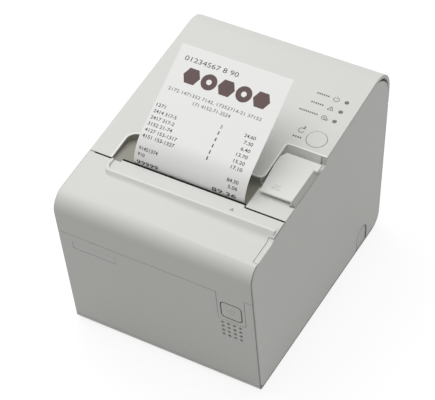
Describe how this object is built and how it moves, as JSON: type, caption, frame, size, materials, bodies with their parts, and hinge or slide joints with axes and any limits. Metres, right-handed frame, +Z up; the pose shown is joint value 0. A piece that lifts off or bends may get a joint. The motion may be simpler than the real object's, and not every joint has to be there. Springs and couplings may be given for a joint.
{
  "type": "receipt printer",
  "caption": "Desktop thermal receipt printer with a sloping hinged lid over a drop-in paper roll, a sliding cutter hood, an opening lever and a receipt in its slot.",
  "frame": {"origin": "middle of the footprint, on the plane of the feet", "axes": "+X to the printer's right seen from its front, +Y to the rear, +Z up"},
  "size_m": [0.14, 0.2, 0.1801],
  "materials": {
    "case_plastic": "fine textured moulding, warm light grey",
    "plate_plastic": "bare plate",
    "foot_rubber": "matt",
    "steel_sheet": "zinc plated sheet",
    "bright_steel": "ground",
    "motor_steel": "dark can",
    "heat_sink_metal": "extruded",
    "ceramic": "glazed ceramic",
    "dark_plastic": "moulded",
    "gear_plastic": "moulded, natural",
    "connector_metal": "tinned shell",
    "platen_rubber": "ground rubber",
    "circuit_board": "solder mask",
    "ribbon": "flat cable",
    "lamp_green": "tinted, unlit",
    "lamp_red": "tinted, unlit",
    "paper": "smooth thermal paper",
    "core_card": "wound card"
  },
  "bodies": {
    "case": {"bottom_case": "case_plastic", "buzzer": "dark_plastic", "cable_knockout": "case_plastic", "case_screws": "bright_steel", "chassis_frame": "steel_sheet", "connector_cover": "case_plastic", "connector_plate": "steel_sheet", "cutter_motor": "motor_steel", "cutter_plate": "steel_sheet", "data_connector": "connector_metal", "drawer_jack": "dark_plastic", "feed_motor": "motor_steel", "front_panel": "case_plastic", "ground_screw": "bright_steel", "head_cable": "ribbon", "head_heat_sink": "heat_sink_metal", "head_springs": "bright_steel", "hinge_brackets": "steel_sheet", "hinge_pins": "bright_steel", "idler_stud": "bright_steel", "lever_pin": "bright_steel", "lever_shelf": "case_plastic", "lever_spring": "bright_steel", "main_board": "circuit_board", "name_plate": "plate_plastic", "paper_sensor": "dark_plastic", "paper_web": "paper", "paper_well": "dark_plastic", "power_socket": "dark_plastic", "power_switch": "dark_plastic", "rear_panel": "case_plastic", "rubber_feet": "foot_rubber", "side_panel_left": "case_plastic", "side_panel_right": "case_plastic", "switch_board": "circuit_board", "thermal_head": "ceramic"},
    "hood": {"hood": "case_plastic", "exit_strip": "dark_plastic"},
    "lid": {"roll_cover": "case_plastic", "button_board": "circuit_board", "paper_led": "lamp_red", "error_led": "lamp_red", "power_led": "lamp_green", "platen_bracket": "steel_sheet", "platen_bushes": "gear_plastic", "fixed_blade": "bright_steel", "receipt": "paper"},
    "platen": {"platen_shaft": "bright_steel", "platen_roller": "platen_rubber", "platen_gear": "gear_plastic"},
    "idler": {"idler_gear": "gear_plastic"},
    "pinion": {"motor_pinion": "gear_plastic"},
    "roll": {"paper_roll": "paper", "roll_core": "core_card"},
    "lever": {"open_lever": "case_plastic"},
    "feed": {"feed_button": "case_plastic"},
    "power": {"power_button": "case_plastic"},
    "blade": {"moving_blade": "bright_steel"},
    "crank": {"cutter_crank": "bright_steel"}
  },
  "joints": [
    {"name": "lid_hinge", "type": "hinge", "parent": "case", "child": "lid", "pos_m": [0, 0.093, 0.1], "axis": [-1, 0, 0], "range_deg": [0, 80]},
    {"name": "hood_slide", "type": "slide", "parent": "case", "child": "hood", "axis": [0, -1, 0], "range_m": [0, 0.02]},
    {"name": "lever_pivot", "type": "hinge", "parent": "case", "child": "lever", "pos_m": [0.056, -0.008, 0.1284], "axis": [-1, 0, 0], "range_deg": [0, 20], "stiffness_Nm_per_rad": 0.05, "springref_deg": -17.19},
    {"name": "feed_press", "type": "slide", "parent": "lid", "child": "feed", "axis": [0, 0.1219, -0.9925], "range_m": [0, 0.0008], "stiffness_N_per_m": 600, "springref_m": -0.002},
    {"name": "power_press", "type": "slide", "parent": "case", "child": "power", "axis": [0, 1, 0], "range_m": [0, 0.0015], "stiffness_N_per_m": 500, "springref_m": -0.002},
    {"name": "roll_spin", "type": "hinge", "parent": "case", "child": "roll", "pos_m": [0, 0.028, 0.0748], "axis": [1, 0, 0], "continuous": true},
    {"name": "platen_spin", "type": "hinge", "parent": "lid", "child": "platen", "pos_m": [0, -0.0442, 0.114], "axis": [1, 0, 0], "continuous": true},
    {"name": "idler_spin", "type": "hinge", "parent": "case", "child": "idler", "pos_m": [-0.0486, -0.0502, 0.0931], "axis": [1, 0, 0], "continuous": true},
    {"name": "pinion_spin", "type": "hinge", "parent": "case", "child": "pinion", "pos_m": [-0.0486, -0.0637, 0.08285], "axis": [1, 0, 0], "continuous": true},
    {"name": "crank_turn", "type": "hinge", "parent": "case", "child": "crank", "pos_m": [0.01, -0.0725, 0.108], "axis": [0, 0, 1], "range_deg": [0, 180]},
    {"name": "blade_slide", "type": "slide", "parent": "case", "child": "blade", "axis": [0, 1, 0], "range_m": [0, 0.01]}
  ],
  "couplings": [
    {"joint": "platen_spin", "follows": "roll_spin", "ratio": 4.3478},
    {"joint": "idler_spin", "follows": "roll_spin", "ratio": -3.4783},
    {"joint": "pinion_spin", "follows": "roll_spin", "ratio": 8.6957},
    {"joint": "crank_turn", "follows": "blade_slide", "rad_per_m": 314.16}
  ]
}
